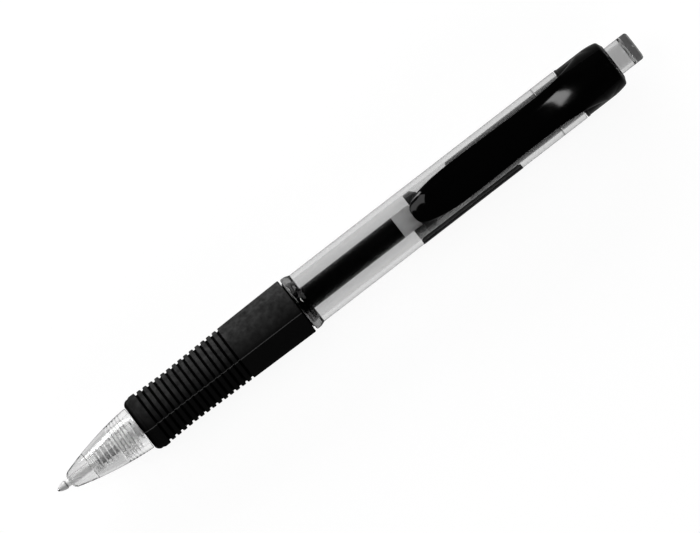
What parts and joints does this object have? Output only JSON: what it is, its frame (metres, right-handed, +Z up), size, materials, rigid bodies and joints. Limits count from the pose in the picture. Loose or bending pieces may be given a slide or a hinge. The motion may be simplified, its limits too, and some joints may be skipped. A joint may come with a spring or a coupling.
{
  "type": "gel pen",
  "caption": "Click-action gel pen: clear nose cone and barrel, ribbed black rubber grip, black cap with a long flared clip, smoky push button, visible refill and spring.",
  "frame": {"origin": "under the middle of the pen's length, on the surface it lies on", "axes": "+X along the pen from the point to the push button, +Z up through the clip"},
  "size_m": [0.143, 0.0124, 0.0148],
  "materials": {
    "clear_plastic": "clear, polished",
    "smoky_plastic": "smoky translucent",
    "cloudy_plastic": "cloudy translucent",
    "black_plastic": "gloss black",
    "black_rubber": "matte",
    "black_gel": "wet gel",
    "grey_grease": "soft grease",
    "bright_steel": "bright turned"
  },
  "bodies": {
    "body": {"barrel": "clear_plastic", "grip_sleeve": "black_rubber", "cap_clip": "black_plastic", "cam_sleeve": "black_plastic", "return_spring": "bright_steel"},
    "nose": {"nose_cone": "clear_plastic"},
    "refill": {"refill_tube": "cloudy_plastic", "gel_ink": "black_gel", "follower_grease": "grey_grease", "tip_holder": "cloudy_plastic", "metal_tip": "bright_steel", "refill_bush": "black_plastic", "writing_ball": "bright_steel"},
    "rotor": {"cam_rotor": "black_plastic"},
    "button": {"push_button": "smoky_plastic"}
  },
  "joints": [
    {"name": "refill_slide", "type": "slide", "parent": "body", "child": "refill", "axis": [1, 0, 0], "range_m": [-0.001, 0.0045], "deforming": ["return_spring"]},
    {"name": "button_slide", "type": "slide", "parent": "body", "child": "button", "axis": [1, 0, 0], "range_m": [-0.001, 0.0045]},
    {"name": "rotor_turn", "type": "hinge", "parent": "refill", "child": "rotor", "pos_m": [0.0355, 0, 0.0062], "axis": [1, 0, 0], "range_deg": [-10, 45]},
    {"name": "nose_slide", "type": "slide", "parent": "body", "child": "nose", "axis": [-1, 0, 0], "range_m": [0, 0.025]}
  ],
  "couplings": [
    {"joint": "button_slide", "follows": "refill_slide", "ratio": 1},
    {"joint": "rotor_turn", "follows": "refill_slide", "rad_per_m": 174.53}
  ]
}
